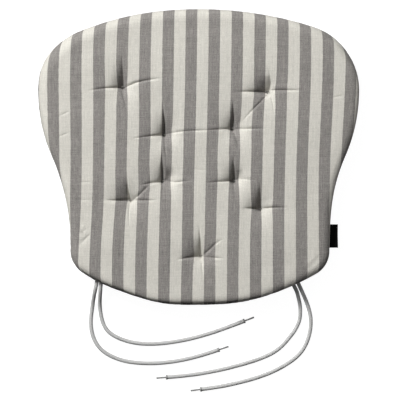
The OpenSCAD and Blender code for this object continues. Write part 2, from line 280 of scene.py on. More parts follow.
def edge_samples(count):
    """Points and outward normals a fixed step apart, clockwise from the front middle."""
    front = (0.0, PAD_L / 2 - FRONT_R)
    shoulder_x = PAD_W / 2 - SHOULDER_R
    shoulder = (shoulder_x, front[1] + math.sqrt((FRONT_R - SHOULDER_R) ** 2 - shoulder_x**2))
    flank = (PAD_W / 2 - FLANK_R, shoulder[1])
    waist_x = WAIST_W / 2 + WAIST_R
    waist = (waist_x, flank[1] - math.sqrt((FLANK_R + WAIST_R) ** 2 - (waist_x - flank[0]) ** 2))
    rear = (0.0, REAR_R - PAD_L / 2)
    corner_x = WAIST_W / 2 - CORNER_R
    corner = (corner_x, rear[1] - math.sqrt((REAR_R - CORNER_R) ** 2 - corner_x**2))
    shoulder_a = math.atan2(shoulder[1] - front[1], shoulder[0] - front[0])
    flank_a = math.atan2(waist[1] - flank[1], waist[0] - flank[0])
    corner_a = math.atan2(corner[1] - rear[1], corner[0] - rear[0])
    arcs = [(front, FRONT_R, math.pi / 2, shoulder_a, 1), (shoulder, SHOULDER_R, shoulder_a, 0, 1),
            (flank, FLANK_R, 0, flank_a, 1), (waist, WAIST_R, math.pi + flank_a, math.pi, -1), None,
            (corner, CORNER_R, 0, corner_a, 1), (rear, REAR_R, corner_a, -math.pi / 2, 1)]
    pos, nor = [], []
    for arc in arcs:
        if arc is None:
            y = np.linspace(waist[1], corner[1], 60)[:-1]
            pos.append(np.stack([np.full_like(y, WAIST_W / 2), y], 1))
            nor.append(np.tile((1.0, 0.0), (len(y), 1)))
            continue
        (cx, cy), r, a0, a1, out = arc
        a = np.linspace(a0, a1, max(8, int(abs(a1 - a0) * r / 0.25)))
        ray = np.stack([np.cos(a), np.sin(a)], 1)
        keep = slice(None, -1) if arc is not arcs[-1] else slice(None)
        pos.append(((cx, cy) + r * ray)[keep])
        nor.append((out * ray)[keep])
    pos, nor = np.concatenate(pos), np.concatenate(nor)
    flip = np.array((-1.0, 1.0))
    pos = np.concatenate([pos, (pos * flip)[-2:0:-1]])
    nor = np.concatenate([nor, (nor * flip)[-2:0:-1]])
    closed = np.column_stack([pos, nor])
    closed = np.vstack([closed, closed[:1]])
    s = lengths_along(closed[:, :2])
    at = np.linspace(0, s[-1], count, endpoint=False)
    samples = np.stack([np.interp(at, s, column) for column in closed.T], 1)
    n = samples[:, 2:]
    return samples[:, :2], n / np.linalg.norm(n, axis=1)[:, None], at


def near(p, centre, width):
    """1 at a place on the outline, falling smoothly to 0."""
    return bell(np.linalg.norm(p - centre, axis=1) / width)


# ---- Creases: each runs from a tuft to its far end ----
# Kinds: (depth at the tuft, width of the wall on the side away from the light's, width of the other wall)
FOLD, LINE = (3.0, 1.9, 1.35), (1.5, 1.4, 1.0)
CREASE_STEP = 1.5
# (kind, how much deeper, how much wider, points)
CREASES = [
    # front left
    (FOLD, 1, 1, [(-99, 88), (-120, 86.5), (-143, 83.2)]),
    (FOLD, 1.15, 1.1, [(-95, 87.4), (-90, 89.6), (-81, 93.2), (-69, 96.1), (-46, 99.6)]),
    ((2.0, 1.2, 3.0), 1, 1, [(-98, 86), (-96, 76), (-93.3, 66), (-91.6, 54)]),
    # front right
    (FOLD, 1.1, 1, [(84, 82.9), (68, 82.7), (49, 82.2)]),
    (FOLD, 0.9, 1, [(94, 84.2), (108, 84.2), (134, 83.8)]),
    (FOLD, 0.62, 0.85, [(88, 78.5), (80, 70), (68, 58), (54, 42)]),
    (LINE, 0.8, 1, [(92, 78), (95, 66), (97, 52)]),
    # middle left
    (FOLD, 1, 1, [(-46, 27.3), (-64, 25.2), (-84, 22.6)]),
    (FOLD, 0.6, 1.1, [(-40, 28.6), (-18, 31.8), (10, 33), (41, 34.6)]),
    (LINE, 0.8, 1, [(-43.5, 25), (-42, 6), (-40, -14)]),
    # middle right
    (FOLD, 0.85, 1.2, [(46, 34.6), (66, 34.9), (88, 35.4)]),
    (FOLD, 0.7, 1.25, [(42, 34.9), (25, 34.2), (10, 33)]),
    ((2.5, 1.2, 3.4), 1, 1, [(44.5, 32.5), (47.3, 25.5), (49.3, 18.5), (50.6, 9)]),
    # inner left
    (FOLD, 1, 1, [(-47.5, -32.2), (-61, -34.5), (-76, -37)]),
    (FOLD, 0.85, 1, [(-43.5, -31), (-37.5, -32.2), (-31.5, -33.2), (-20, -32.4), (-8, -31.6)]),
    (LINE, 0.7, 1, [(-46, -33.5), (-46, -50), (-47, -66)]),
    # inner right
    (FOLD, 0.85, 1.35, [(43, -31.4), (28, -32.8), (8, -34)]),
    (FOLD, 0.6, 1.3, [(47.5, -30.2), (53, -29.2), (62, -29.8), (76, -31)]),
    (LINE, 0.9, 1, [(45, -33.5), (46.5, -48), (48.5, -64)]),
    # rear left
    (FOLD, 1.15, 1.1, [(-89, -56.4), (-104, -56.6), (-118, -56)]),
    (FOLD, 1, 1, [(-84.5, -56.2), (-70, -56.4), (-53, -56.4)]),
    (FOLD, 0.9, 1.3, [(-81.5, -54), (-75.5, -49.5), (-65.5, -39.5), (-58, -33.5)]),
    (LINE, 0.9, 1, [(-88, -58.5), (-88.5, -72), (-88.5, -92)]),
    # rear right
    (FOLD, 1.1, 1.1, [(76.5, -67.2), (67, -67), (56, -66)]),
    (FOLD, 1.3, 1, [(82, -67), (95, -65.9), (113, -65.6)]),
    (LINE, 0.6, 1, [(80, -70), (80.5, -84), (81, -98)]),
    # rear middle
    (FOLD, 1.2, 1.15, [(0.5, -127.8), (-7, -128.8), (-19, -130.8), (-29, -132.4)]),
    (FOLD, 0.75, 1, [(6.5, -128.4), (12, -129), (22, -129.9), (34, -130.6)]),
    (FOLD, 0.75, 1.1, [(7.5, -125.5), (14.5, -119), (25, -109.5), (33, -105)]),
    (LINE, 0.7, 1, [(4, -130), (4.8, -145), (5.5, -162)]),
]
# The fold in front of each tuft: (points from the tuft forwards, depth and left reach of its floor, depth and left
# reach of its wall, how much of the length the wall takes)
PLEATS = [
    ([(-96.4, 88), (-96, 98), (-96.4, 111), (-98.5, 133)], 5.0, 4.6, 5.0, 10.0, 0.85),
    ([(89.5, 82), (92, 90), (91.8, 97), (91, 104), (89.5, 115)], 2.6, 2.4, 9.5, 17.0, 0.66),
    ([(-43.6, 27), (-43, 38), (-43.8, 52), (-45.5, 68)], 7.5, 2.4, 3.6, 9.0, 0.75),
    ([(43.4, 34.5), (44.8, 44), (44.8, 58), (44.2, 74)], 7.5, 2.6, 3.6, 9.0, 0.75),
    ([(-45.8, -32), (-45.4, -22), (-45.9, -8), (-46.2, 8)], 7.5, 2.6, 4.6, 10.0, 0.62),
    ([(45.4, -32), (46, -20), (45.2, -10), (44.6, 2)], 7.5, 3.2, 4.2, 10.0, 0.7),
    ([(-86.5, -56), (-89.2, -45), (-90.6, -32), (-91.6, -20)], 2.8, 2.4, 8.0, 16.0, 0.72),
    ([(79.5, -68), (79.8, -56), (79.4, -44), (78.2, -28)], 5.5, 4.0, 5.5, 12.0, 0.85),
    ([(3.2, -128), (3.2, -115), (2.0, -100), (0.5, -82)], 3.6, 2.6, 5.5, 14.0, 0.72),
]
# Dents beside the folds: (middle, depth, reach sideways, reach forwards)
DENTS = [((-35.5, -27), 4.8, 5.0, 9.0), ((52.5, -26.5), 4.2, 4.2, 8.0), ((-34, 34), 1.3, 5.0, 10.0),
         ((54, 42), 1.3, 5.0, 10.0)]
# Faint wrinkles away from the tufts: (points, depth, half width)
WRINKLES = [
    ([(-6, -16), (2, -17.5), (12, -17)], 0.5, 1.7),
    ([(-180, 50), (-172, 54), (-163, 58)], 0.55, 1.7),
    ([(-181, 24), (-173, 27), (-163, 31)], 0.65, 1.7),
    ([(-158, -35), (-147, -33), (-136, -33)], 0.5, 1.8),
    ([(-157, -57), (-146, -56), (-135, -56)], 0.5, 1.8),
    ([(-157, -118), (-148, -109), (-137, -98)], 1.15, 2.8),
    ([(-156, -103), (-149, -97.5), (-142, -92)], 0.9, 2.5),
    ([(138, -146), (146, -138), (154, -128)], 1.0, 2.6),
    ([(170, 74), (178, 76), (187, 78)], 0.55, 1.7),
    ([(150, -2), (160, -1), (170, -2)], 0.5, 1.7),
    ([(148, -62), (158, -61), (168, -62)], 0.45, 1.7),
    ([(-30, 12), (-24, 4), (-19, -8)], 0.35, 2.3),
]
# How far to each side of its tuft a pleat is looked for.
PLEAT_REACH = 45.0
# The wall of a crease on this side falls away from the key light.
LIGHT_SIDE = np.array((-0.62, 0.78))


def fine_line(points):
    """A smooth line through a crease's points."""
    return resample(spline(points, CREASE_STEP), CREASE_STEP)


def crease_lines():
    """Each crease and wrinkle as a fine line: (points, depth, its two half widths, whether both ends are free)."""
    for kind, deeper, wider, points in CREASES:
        yield fine_line(points), kind[0] * deeper, kind[1] * wider, kind[2], False
    for points, depth, w in WRINKLES:
        yield fine_line(points), depth, w, w, True


LINES = list(crease_lines())
PLEAT_LINES = [(fine_line(points).T, *rest) for points, *rest in PLEATS]


def line_distance(p, line):
    """Distance of each point from a line, how far along it (0 to 1), and how much it lies on the light's side."""
    a, b = line[:-1], line[1:]
    d = b - a
    rel = p[:, None] - a[None]
    t = np.clip((rel * d).sum(2) / (d * d).sum(1), 0, 1)
    away = rel - t[..., None] * d
    gap = np.linalg.norm(away, axis=2)
    k = gap.argmin(1)
    row = np.arange(len(p))
    nearest = gap[row, k]
    return nearest, (k + t[row, k]) / len(a), away[row, k] @ LIGHT_SIDE / np.maximum(nearest, 1e-6)


def crease_depth(p):
    """How far the creases pull the surface down at each plan point, and the distance to the nearest."""
    total, closest = np.zeros(len(p)), np.full(len(p), 1e9)
    for line, depth, shade_w, lit_w, free in LINES:
        lo, hi = line.min(0) - 20, line.max(0) + 20
        inside = np.flatnonzero(((p > lo) & (p < hi)).all(1))
        if not len(inside):
            continue
        gap, t, side = line_distance(p[inside], line)
        width = (lit_w + (shade_w - lit_w) * np.clip(0.5 + 0.8 * side, 0, 1)) * (1 - 0.25 * t)
        fade = np.sin(math.pi * np.clip(t, 0.02, 0.98)) if free else (1 - t**2.2) ** 1.25
        total[inside] += depth * fade * bell(gap / width, 1.45)
        closest[inside] = np.minimum(closest[inside], np.maximum(gap - 0.5 * width, 0))
    for (line_x, line_y), floor, core, wall, slope, length in PLEAT_LINES:
        inside = np.flatnonzero((np.abs(p[:, 0] - line_x[0]) < PLEAT_REACH)
                                & (p[:, 1] > line_y[0] - 12) & (p[:, 1] < line_y[-1]))
        x, y = p[inside].T
        t = np.clip((y - line_y[0]) / (line_y[-1] - line_y[0]), 0, 1)
        off = x - np.interp(y, line_y, line_x)
        behind = bell(np.minimum(y - line_y[0], 0) / 3.5)
        floor_w = np.where(off < 0, core, 1.3) * (1 - 0.45 * t)
        wall_w = np.where(off < 0, slope, 2.2) * (1 - 0.5 * t)
        total[inside] += behind * floor * (1 - t**1.6) ** 1.5 * bell(off / floor_w, 1.5)
        total[inside] += behind * wall * np.maximum(1 - t / length, 0) ** 1.5 * bell(off / wall_w, 1.25)
        near_line = np.hypot(off, np.minimum(y - line_y[0], 0))
        closest[inside] = np.minimum(closest[inside], np.maximum(near_line - 2.5, 0))
    for (x, y), depth, wide, deep in DENTS:
        total += depth * bell((p[:, 0] - x) / wide) * bell((p[:, 1] - y) / deep)
    return total, closest


DIMPLE_D, DIMPLE_R, PIT_D, PIT_R = 8.2, 9.0, 3.0, 2.8
HOLLOW_D, HOLLOW_R = 2.0, 17.0
# How far right of its tuft each dimple's middle lies.
DIMPLE_ASIDE = (0.5, 0, 2, 2, 4.5, 3.5, 1.5, 1.5, 0)


def tuft_depth(p, depth=DIMPLE_D, radius=DIMPLE_R, pit=PIT_D, hollow=HOLLOW_D):
    """How far the tufts pull a face in at each plan point, and the distance to the nearest tuft."""
    total, closest = np.zeros(len(p)), np.full(len(p), 1e9)
    for i, (c, aside) in enumerate(zip(TUFTS, DIMPLE_ASIDE)):
        r = np.linalg.norm(p - c, axis=1)
        rel = p - c - (aside, 0)
        grow = 1 + 0.08 * math.sin(2.3 * i)
        # The dip runs further to the front than to the back.
        stretch = np.hypot(rel[:, 0], rel[:, 1] / np.where(rel[:, 1] > 0, 1.45, 0.95))
        total += depth * bell(stretch / (radius * grow), 1.25) + pit * bell(r / PIT_R) + hollow * bell(r / HOLLOW_R)
        closest = np.minimum(closest, r)
    return total, closest


# ---- Cover panels ----
EDGE_COUNT = 984
EDGE, NORMAL, EDGE_S = edge_samples(EDGE_COUNT)
CROWN, WELL = 1.6, 21.0

# The sewn outline isn't quite true: (place, how far it stands out there, how wide a stretch).
UNTRUE = [((-150, 158), -1.7, 60), ((160, 155), 1.5, 55), ((0, 190), -1.2, 90), ((-165, -110), -1.7, 50),
          ((168, -95), 2.0, 48), ((80, -185), 1.0, 70), ((-50, -184), 1.0, 30), ((8, -190), -1.5, 36),
          ((-140, -152), -0.7, 34), ((-100, -172), -1.3, 30), ((-199, 120), 1.6, 26), ((-154, 163), -0.3, 22),
          ((-157, -141), -1.2, 20)]
for spot, out, width in UNTRUE:
    EDGE = EDGE + NORMAL * (out * near(EDGE, spot, width))[:, None]


def edge_distance(p):
    """How far each plan point lies inside the outline; negative outside it."""
    out = np.empty(len(p))
    square = (EDGE**2).sum(1)
    for k in range(0, len(p), 8000):
        q = p[k: k + 8000]
        i = (square - 2 * q @ EDGE.T).argmin(1)
        out[k: k + 8000] = ((EDGE[i] - q) * NORMAL[i]).sum(1)
    return out


# How far along the cloth, from the seam, each ring of the roll lies, before the roll's own length sets the scale.
REACH = np.array([0, 0.3, 0.7, 1.1, 1.6, 2.1, 2.7, 3.3, 4, 4.7, 5.4, 6.2, 7, 8, 9, 10, 11.2, 12.5, 13.8, 15.2,
                  16.7, 18.3, 20, 21.7, 23.5, 25.3])
# Where the edge is pushed out square: how squarely, how far its shoulder slopes, and how quickly.
SQUARE_POWER, BEVEL, BEVEL_POWER = 12.0, 6.2, 2.6


def roll_shape(up):
    """At each edge sample: how square the roll is, how far its shoulder slopes, and how proud it stands."""
    if up < 0:
        proud = 1.7 * np.maximum(near(EDGE, (-112, -160), 62), near(EDGE, (10, -190), 90))
        return np.full(EDGE_COUNT, 2.3), np.zeros(EDGE_COUNT), proud
    power = (2.8 - 0.6 * near(EDGE, (185, 130), 55) - 0.8 * near(EDGE, (-175, 132), 62)
             + 2.2 * near(EDGE, (-85, -172), 85) + 1.2 * near(EDGE, (35, -188), 55))
    # Down the right side the filling pushes the edge out square under a sloping shoulder.
    x, y = EDGE.T
    square = 1 / ((1 + np.exp((78 - x) / 11)) * (1 + np.exp((y - 103) / 7)))
    return power + (SQUARE_POWER - power) * square, BEVEL * square, -1.7 * near(EDGE, (-60, -182), 105)


def roll_profile(up):
    """For each edge sample: inset, rise and cloth length of the roll's rings, from the seam to the flat."""
    a = np.linspace(0, math.pi / 2, 90)
    smooth = np.array([1, 3, 4, 3, 1]) / 12
    inset, rise, cloth = [], [], []
    for n, bevel, proud in zip(*roll_shape(up)):
        u = np.cos(a) ** (2 / n)
        x, z = ROLL_W * u, np.sin(a) ** (2 / n) * (SEAM_Z - bevel * u**BEVEL_POWER)
        line = resample(np.stack([x, z], 1), 0.3)
        for _ in range(2):
            padded = np.pad(line, ((2, 2), (0, 0)), mode="reflect", reflect_type="odd")
            line = np.stack([np.convolve(padded[:, i], smooth, "valid") for i in (0, 1)], 1)
        s = lengths_along(line)
        at = REACH / REACH[-1] * s[-1]
        xs, zs = np.interp(at, s, line[:, 0]), np.interp(at, s, line[:, 1])
        # The stitching draws the seam itself inwards.
        xs = xs - bell(at / 0.8) + proud * bell((at - 3.5) / 4.0)
        inset.append(ROLL_W - xs)
        rise.append(zs)
        cloth.append(s[-1] - at)
    return np.array(inset), np.array(rise), np.array(cloth)


def hex_points(spacing, lo, hi):
    """Points of a triangular grid over a box."""
    xs = np.arange(lo[0], hi[0], spacing)
    ys = np.arange(lo[1], hi[1], spacing * math.sqrt(3) / 2)
    grid = np.stack(np.meshgrid(xs, ys), 2)
    grid[1::2, :, 0] += spacing / 2
    return grid.reshape(-1, 2)


def plan_points(levels):
    """Points inside the flat, finer near creases and tufts. levels: (spacing, within this distance)."""
    lo, hi, cell = EDGE.min(0), EDGE.max(0), 3.0
    kept, wanted = [], None
    for i, (spacing, within) in enumerate(levels):
        p = hex_points(spacing, lo, hi)
        if wanted is not None:
            at = ((p - lo) / cell).astype(int)
            p = p[wanted[at[:, 0], at[:, 1]]]
        p = p[edge_distance(p) > ROLL_W + 0.9]
        gap = np.minimum(crease_depth(p)[1], np.maximum(tuft_depth(p)[1] - 3.0, 0))
        finer = levels[i + 1][1] if i + 1 < len(levels) else -1
        kept.append(p[(gap <= within) & (gap > finer)])
        # Cells that the next level may reach into.
        shape = tuple(((hi - lo) / cell).astype(int) + 3)
        wanted = np.zeros(shape, bool)
        at = ((p[gap <= finer + 3] - lo) / cell).astype(int)
        for dx in (-1, 0, 1):
            for dy in (-1, 0, 1):
                wanted[np.clip(at[:, 0] + dx, 0, shape[0] - 1), np.clip(at[:, 1] + dy, 0, shape[1] - 1)] = True
    return np.concatenate(kept)


def triangulate(loop, inner):
    """Delaunay faces over a closed loop and the points inside it; indices into loop + inner."""
    points = np.concatenate([loop, inner])
    n = len(loop)
    edges = [(i, (i + 1) % n) for i in range(n)]
    out = geometry.delaunay_2d_cdt([Vector(p) for p in points], edges, [], 1, 1e-5, True)
    where = [ids[0] for ids in out[3]]
    faces = np.array([[where[i] for i in f] for f in out[2]])
    v = points[faces]
    area = np.cross(v[:, 1] - v[:, 0], v[:, 2] - v[:, 0])
    faces[area < 0] = faces[area < 0][:, ::-1]
    # The outline is waisted: leave out any face that bridges the hollow outside it.
    bridging = (faces < n).all(1)
    bridging[bridging] = edge_distance(v[bridging].mean(1)) < ROLL_W - 0.3
    return faces[(np.abs(area) > 1e-6) & ~bridging]


# Where the stripes stray: (place, how far to the right, how wide a stretch).
STRAYS = [((-185, 150), 1.6, 34), ((-105, 192), 2.2, 46), ((160, 175), -1.4, 40), ((-95, 70), 1.1, 55),
          ((-115, -125), -1.5, 50), ((105, -120), -1.1, 65), ((70, 40), -0.7, 45), ((-75, -48), 1.4, 22)]


def stripe_lean(p):
    """How far the stripes stand to the side at a plan point, as the cloth was laid and drawn in."""
    x, y = p[:, 0], p[:, 1]
    laid = 1.9 + 0.0215 * y + 0.6 * np.sin(y / 61 + 0.6) + 0.35 * np.sin(x / 47 + y / 90)
    drift = 1.15 * (1 - np.tanh((y + 55) / 60))
    drawn = -0.0215 * bell((y + 25) / 100) * x
    local = sum(far * near(p, spot, width) for spot, far, width in STRAYS)
    return laid + drift + drawn + local


def gathered(p):
    """Cloth coordinates at a plan point: cloth is drawn in towards each tuft."""
    f = p.astype(float).copy()
    for c in TUFTS:
        rel = p - c
        r = np.linalg.norm(rel, axis=1)
        f += rel / np.maximum(r, 1e-6)[:, None] * (1.4 * (r / 8) * np.exp(1 - r / 8))[:, None]
    return f


# The allowance's rings, from its cut edge out to the seam, by how far in they lie.
ALLOWANCE_RINGS = (9.0, 6.0, 3.0, 1.6)


def cover(name, up, levels, surface):
    """A cover panel: the sewn-in allowance, the roll and the flat. surface gives z at plan points."""
    inset, rise, cloth = roll_profile(up)
    rings, first = inset.shape[1], len(ALLOWANCE_RINGS)
    pucker = 0.28 * soft_noise(EDGE_S, 7 if up > 0 else 8, 23) + 0.16 * soft_noise(EDGE_S, 9, 9.5, 2)
    points, fabric = [], []
    for k, d in enumerate(ALLOWANCE_RINGS):
        points.append(np.column_stack([EDGE - d * NORMAL, np.full(EDGE_COUNT, SEAM_Z + up * (0.45 + 0.05 * k))]))
        fabric.append(EDGE + NORMAL * (cloth[:, 0] + d - ROLL_W)[:, None])
    for k in range(rings):
        fade = bell((k - 4) / 4.0)
        flat = EDGE - (inset[:, k] + fade * pucker * 0.5)[:, None] * NORMAL
        points.append(np.column_stack([flat, SEAM_Z + up * (rise[:, k] + fade * pucker * 0.5)]))
        fabric.append(EDGE + NORMAL * (cloth[:, k] - ROLL_W)[:, None])
    inner = plan_points(levels)
    tri = triangulate(points[-1][:, :2], inner) + (first + rings - 1) * EDGE_COUNT
    # Rings near the flat also feel the surface's dips and creases.
    for k in range(rings // 2, rings):
        ring = points[first + k]
        ring[:, 2] += (k / (rings - 1)) ** 2 * (surface(ring[:, :2]) - (SEAM_Z + up * SEAM_Z))
    points.append(np.column_stack([inner, surface(inner)]))
    fabric.append(inner)
    faces = [(a, d, c, b) if up > 0 else (b, c, d, a) for a, b, c, d in ring_faces(first + rings, EDGE_COUNT)]
    faces += (tri if up > 0 else tri[:, ::-1]).tolist()
    fabric = np.concatenate(fabric)
    f = gathered(fabric) if up > 0 else fabric.copy()
    f[:, 0] -= stripe_lean(fabric)
    return make_mesh(name, np.concatenate(points), faces, fabric=np.column_stack([f, np.full(len(f), up)]))


# Grid of the cloth simulation, how much of its lift is kept, the most that a point may move, and its frames.
SETTLE_STEP, SETTLE_SHARE, SETTLE_CAP, SETTLE_FRAMES = 5.0, 0.3, 0.9, 22


def settle():
    """Cloth simulation of the top panel: slack cloth, held at the tufts and the rim, swelled by the foam.

    Returns the grid's corner and how far each grid point moved up, in mm."""
    lo, hi = EDGE.min(0), EDGE.max(0)
    xs, ys = (np.arange(lo[i], hi[i] + SETTLE_STEP, SETTLE_STEP) for i in (0, 1))
    p = np.stack(np.meshgrid(xs, ys, indexing="ij"), 2).reshape(-1, 2)
    grid, moved = (len(xs), len(ys)), np.zeros(len(p))
    inset = edge_distance(p)
    used = np.flatnonzero(inset > 3)
    number = np.full(len(p), -1)
    number[used] = np.arange(len(used))
    number = number.reshape(grid)
    cells = np.stack([number[:-1, :-1], number[1:, :-1], number[1:, 1:], number[:-1, 1:]], 2).reshape(-1, 4)
    faces = cells[(cells >= 0).all(1)].tolist()
    dips, from_tuft = tuft_depth(p[used])
    shoulder = SEAM_Z * (1 - np.clip(1 - inset[used] / ROLL_W, 0, 1) ** 2.6) ** (1 / 2.6)
    start = np.column_stack([p[used], SEAM_Z + shoulder - 0.8 * dips])
    cloth = make_mesh("settling", start, faces)
    held = cloth.vertex_groups.new(name="held")
    held.add(np.flatnonzero((from_tuft < 5.5) | (inset[used] < 8)).tolist(), 1.0, "REPLACE")
    cloth_sim = cloth.modifiers.new("cloth", "CLOTH")
    laws = cloth_sim.settings
    laws.quality, laws.mass = 6, 0.15
    laws.tension_stiffness = laws.compression_stiffness = 12.0
    laws.shear_stiffness, laws.bending_stiffness = 6.0, 2.0
    laws.shrink_min = -0.004
    laws.use_pressure, laws.uniform_pressure_force = True, 0.25
    laws.vertex_group_mass = "held"
    laws.effector_weights.gravity = 0.0
    cloth_sim.collision_settings.use_collision = False
    cloth_sim.point_cache.frame_start, cloth_sim.point_cache.frame_end = 1, SETTLE_FRAMES
    scene = bpy.context.scene
    for frame_number in range(1, SETTLE_FRAMES + 1):
        scene.frame_set(frame_number)
    result = cloth.evaluated_get(bpy.context.evaluated_depsgraph_get()).data
    after = np.empty(len(used) * 3)
    result.vertices.foreach_get("co", after)
    rise = after.reshape(-1, 3)[:, 2] / MM - start[:, 2]
    scene.frame_set(1)
    mesh = cloth.data
    bpy.data.objects.remove(cloth)
    bpy.data.meshes.remove(mesh)
    # The rim is held by its seam, so the lift starts well inside it.
    inside = np.clip((inset[used] - 10) / 28, 0, 1) ** 2
    moved[used] = inside * SETTLE_CAP * np.tanh(SETTLE_SHARE * np.nan_to_num(rise) / SETTLE_CAP)
    return lo, moved.reshape(grid)


SETTLED_LO, SETTLED = settle()


def settled(p):
    """How far the simulated cloth stands above the plain shape at plan points."""
    at = np.clip((p - SETTLED_LO) / SETTLE_STEP, 0, np.array(SETTLED.shape) - 1.001)
    i = at.astype(int)
    u, v = (at - i).T
    u, v = u * u * (3 - 2 * u), v * v * (3 - 2 * v)
    a, b = i.T
    return ((SETTLED[a, b] * (1 - u) + SETTLED[a + 1, b] * u) * (1 - v)
            + (SETTLED[a, b + 1] * (1 - u) + SETTLED[a + 1, b + 1] * u) * v)


def top_surface(p):
    """Height of the top panel at plan points."""
    d = edge_distance(p)
    crown = CROWN * (1 - bell(np.maximum(d - ROLL_W, 0) / 38))
    tufts, _ = tuft_depth(p)
    creases, _ = crease_depth(p)
    # A crease ends at its tuft, so near the middle of one the two don't simply add up.
    return PAD_H + crown + settled(p) - WELL * np.tanh((tufts + creases) / WELL)


def bottom_surface(p):
    """Height of the bottom panel at plan points: it lies on the floor, but for the recess at each tuft."""
    shallow, _ = tuft_depth(p, depth=2.2, radius=7.0, pit=1.4, hollow=0.0)
    return 0.3 + shallow


top_cover = cover("cover_top", 1, [(1.9, 1e9), (1.0, 7.0), (0.62, 2.6)], top_surface)
bottom_cover = cover("cover_bottom", -1, [(2.6, 1e9), (1.6, 5.0)], bottom_surface)


# ---- Foam ----

# Half of the foam's side, from its middle height: (how far inside the outline, how far above or below the seam).
FOAM_SIDE = [(2.6, 0), (3.2, 5), (5.2, 8.0), (8.5, 9.0), (ROLL_W, 9.0)]
FOAM_STEP = 12


def foam():
    """The foam slab, which fills the covers and is pinched in by the tufts."""
    edge, normal = EDGE[::FOAM_STEP], NORMAL[::FOAM_STEP]
    n = len(edge)
    points = [np.column_stack([edge - d * normal, np.full(n, SEAM_Z + z)]) for d, z in FOAM_SIDE[::-1]]
    points += [np.column_stack([edge - d * normal, np.full(n, SEAM_Z - z)]) for d, z in FOAM_SIDE[1:]]
    rings = len(points)
    grid = hex_points(5.0, EDGE.min(0), EDGE.max(0))
    grid = grid[edge_distance(grid) > ROLL_W + 2.5]
    tri = triangulate(edge - ROLL_W * normal, grid)
    _, from_tuft = tuft_depth(grid)
    top = np.minimum(top_surface(grid) - 3.2, PAD_H - 9.5 - 12 * bell(from_tuft / 13))
    low = bottom_surface(grid) + 2.2 + 3 * bell(from_tuft / 9)
    faces = [(b, c, d, a) for a, b, c, d in ring_faces(rings, n)]
    upper, lower = rings * n, rings * n + len(grid)
    for f in tri:
        faces.append(tuple(i if i < n else upper + i - n for i in f))
        faces.append(tuple((rings - 1) * n + i if i < n else lower + i - n for i in f[::-1]))
    points = np.concatenate(points + [np.column_stack([grid, top]), np.column_stack([grid, low])])
    return make_mesh("foam_block", points, faces)


foam_block = foam()


# ---- Label: a woven ribbon folded in two, its ends caught in the seam ----

RIBBON_T, FOLD_GAP, FOLD_R = 0.46, 0.27, 0.62
# The cover's edge stands proud beside the label, so the ribbon reaches this much further to show at its full depth.
LABEL_EASE = 2.6


def label():
    """The ribbon, which goes out, turns in a small loop and comes back under itself."""
    inner_x, fold_x = WAIST_W / 2 - LABEL_CAUGHT, WAIST_W / 2 + LABEL_OUT + LABEL_EASE
    line = [(x, FOLD_GAP) for x in np.linspace(inner_x, fold_x - 2.0, 22)]
    line += [(fold_x - 1.3, FOLD_GAP + 0.12), (fold_x - 0.8, FOLD_R - 0.12)]
    line += [(fold_x - 0.75 * FOLD_R * (1 - math.sin(a)), FOLD_R * math.cos(a))
             for a in np.linspace(0.5, math.pi / 2, 5)]
    line = np.array(line + [(x, -z) for x, z in line[-2::-1]])
    tangent = np.gradient(line, axis=0)
    tangent /= np.linalg.norm(tangent, axis=1)[:, None]
    out = np.stack([-tangent[:, 1], tangent[:, 0]], 1) * RIBBON_T / 2
    section = np.concatenate([line + out, (line - out)[::-1]])
    n, steps = len(section), 41
    s = lengths_along(line)
    run = np.concatenate([s, s[::-1]])
    points, fabric = [], []
    for y in np.linspace(LABEL_Y, LABEL_Y + LABEL_W, steps):
        out = np.clip((section[:, 0] - WAIST_W / 2) / LABEL_OUT, 0, 1)
        droop = (0.35 * math.sin(y / 6.5) + 0.25 * math.sin(y / 3.1 + 1)) * out**2 - 1.1 * out**1.6
        x = section[:, 0] + 0.16 * math.sin(y / 7.0) * out
        points.append(np.column_stack([x, np.full(n, y), SEAM_Z + section[:, 1] + droop]))
        fabric.append(np.column_stack([run, np.full(n, y - LABEL_Y), np.zeros(n)]))
    faces = ring_faces(steps, n)
    for k in (0, steps - 1):
        for i in range(n // 2 - 1):
            quad = (k * n + i, k * n + i + 1, k * n + n - 2 - i, k * n + n - 1 - i)
            faces.append(quad if k else quad[::-1])
    return make_mesh("label_ribbon", np.concatenate(points), faces, fabric=np.concatenate(fabric))


ribbon = label()


# ---- The opening at the rear, closed by hand with slip stitches ----

OPENING_W, STITCH_R = 160.0, 0.27


def slip_stitches():
    """A short thread over the seam at every fourth sample of the opening."""
    ids = np.flatnonzero((EDGE[:, 1] < 0) & (np.abs(EDGE[:, 0]) < OPENING_W / 2))
    ids = ids[np.argsort(EDGE[ids, 0])]
    parts = []
    for k in range(0, len(ids) - 3, 4):
        (a, b), (out, out_b) = EDGE[ids[k: k + 2]], NORMAL[ids[k: k + 2]]
        uneven = 0.075 * math.sin(k * 1.7)
        line = [(*(a - 0.5 * out), SEAM_Z - 1.5), (*(a - 0.1 * out), SEAM_Z - 0.9 + uneven),
                (*((a + b) / 2 + 0.22 * out), SEAM_Z + uneven),
                (*(b - 0.1 * out_b), SEAM_Z + 0.9), (*(b - 0.5 * out_b), SEAM_Z + 1.5)]
        parts.append(tube_data(spline(line, 0.3), STITCH_R, 8))
    return make_mesh("slip_stitches", *join_data(parts))


stitches = slip_stitches()


# ---- Materials ----

